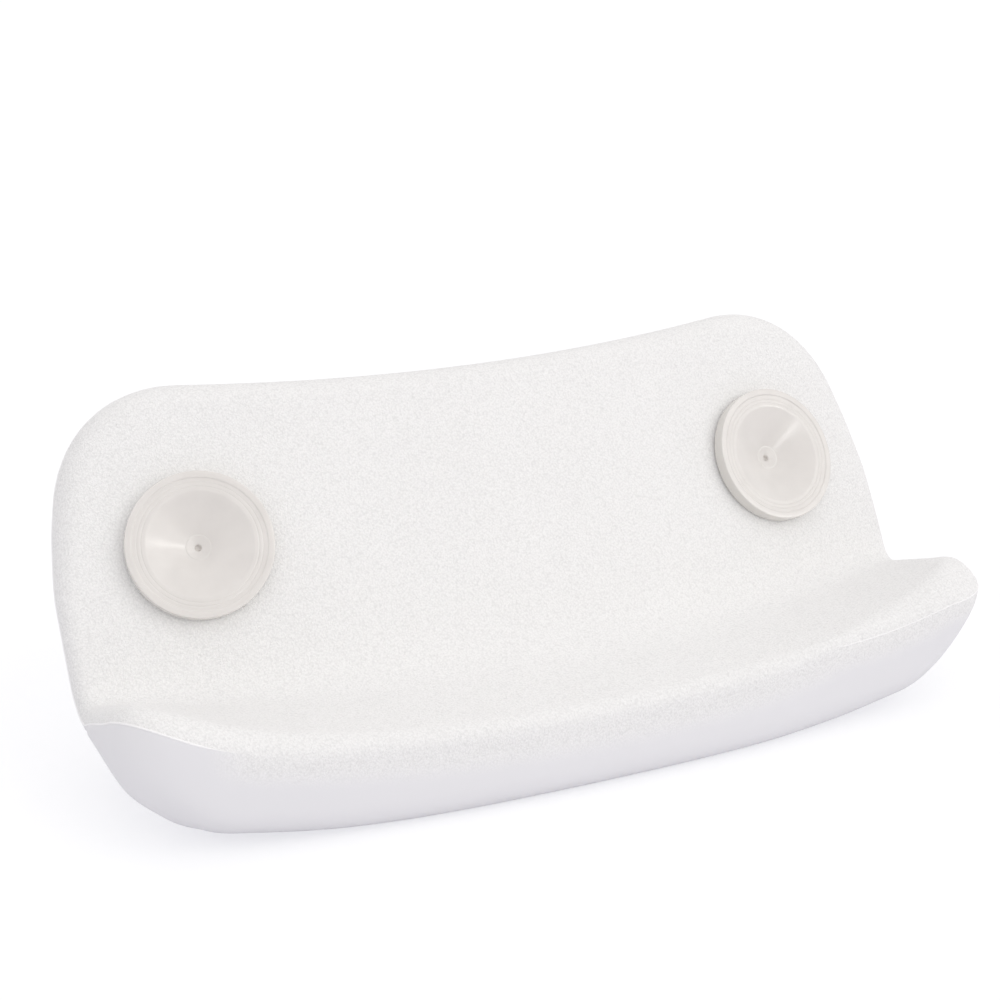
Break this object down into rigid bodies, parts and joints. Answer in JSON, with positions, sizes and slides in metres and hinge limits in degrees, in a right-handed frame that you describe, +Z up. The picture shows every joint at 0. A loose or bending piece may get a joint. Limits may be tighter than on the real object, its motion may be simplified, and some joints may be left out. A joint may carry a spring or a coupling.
{
  "type": "bath pillow",
  "caption": "Moulded foam headrest for a bathtub: a leaning back plate with a lip for the tub's rim and swivelling suction cups on its rear face.",
  "frame": {"origin": "on the resting flat under the lip, at mid-width and directly below the fold between plate and lip", "axes": "+X along the width, to the right as seen from the cups' side, +Y from the cups' side towards the side where the neck rests, +Z up with the pillow standing on its resting flat"},
  "size_m": [0.3066, 0.1179, 0.1169],
  "materials": {
    "skin": "white integral PU skin with a fine leather grain, semi-matte",
    "foam": "open-cell PU foam, matte",
    "board": "plain moulded plastic",
    "washer": "plain moulded plastic",
    "cup": "translucent milky soft plastic, smooth"
  },
  "bodies": {
    "pillow": {"rear_skin": "skin", "front_skin": "skin", "foam_core": "foam", "insert_board": "board", "left_cup_seat": "board", "right_cup_seat": "board", "left_clamp_washer": "washer", "right_clamp_washer": "washer"},
    "left_cup": {"left_suction_cup": "cup"},
    "right_cup": {"right_suction_cup": "cup"}
  },
  "joints": [
    {"name": "left_cup_swivel", "type": "hinge", "parent": "pillow", "child": "left_cup", "pos_m": [-0.1056, 0.03596, 0.07295], "axis": [-0.1459, -0.8441, 0.516], "continuous": true},
    {"name": "right_cup_swivel", "type": "hinge", "parent": "pillow", "child": "right_cup", "pos_m": [0.1056, 0.03596, 0.07295], "axis": [0.1459, -0.8441, 0.516], "continuous": true}
  ]
}
